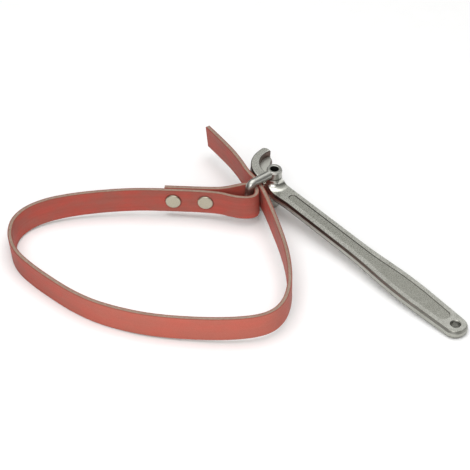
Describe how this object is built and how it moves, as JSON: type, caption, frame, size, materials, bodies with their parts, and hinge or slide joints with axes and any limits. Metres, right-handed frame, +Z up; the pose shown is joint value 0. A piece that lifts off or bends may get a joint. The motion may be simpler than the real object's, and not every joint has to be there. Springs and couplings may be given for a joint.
{
  "type": "oil filter strap wrench",
  "caption": "Strap wrench for oil filters: a forged handle with a hooked cam jaw, pivoted on a shackle that holds the eye of a stiff laminated strap bent into a large loop.",
  "frame": {"origin": "middle of the underside of the wrench as it lies on a table", "axes": "+Z up from the table, +X to the right along the longest side, from the loop towards the handle's end; -Y towards the loop's near side"},
  "size_m": [0.341, 0.2335, 0.036],
  "materials": {
    "forged_steel": "satin plated forging with polished high spots",
    "shackle_steel": "bright plated rod",
    "pivot_steel": "bright plated, dark inside",
    "washer_steel": "plain, a little dull",
    "rivet_nickel": "nickel plated, slightly worn",
    "strap_facing": "matt brick red, faint weave",
    "strap_core": "matt cut edge, beige"
  },
  "bodies": {
    "strap": {"strap_core": "strap_core", "strap_inner_facing": "strap_facing", "strap_outer_facing": "strap_facing", "rivet_near_eye": "rivet_nickel", "rivet_near_end": "rivet_nickel", "rivet_cap_near_eye": "rivet_nickel", "rivet_cap_near_end": "rivet_nickel"},
    "link": {"shackle": "shackle_steel", "pivot_tube": "pivot_steel", "upper_washer": "washer_steel", "lower_washer": "washer_steel"},
    "lever": {"handle": "forged_steel"}
  },
  "joints": [
    {"name": "link_swing", "type": "hinge", "parent": "strap", "child": "link", "pos_m": [0.01145, 0.03404, 0.01807], "axis": [0.045, -0.0527, 0.9976], "range_deg": [-12, 1]},
    {"name": "handle_pivot", "type": "hinge", "parent": "link", "child": "lever", "pos_m": [0.03055, 0.05033, 0.01807], "axis": [0.045, -0.0527, 0.9976], "range_deg": [-16, 2]}
  ]
}
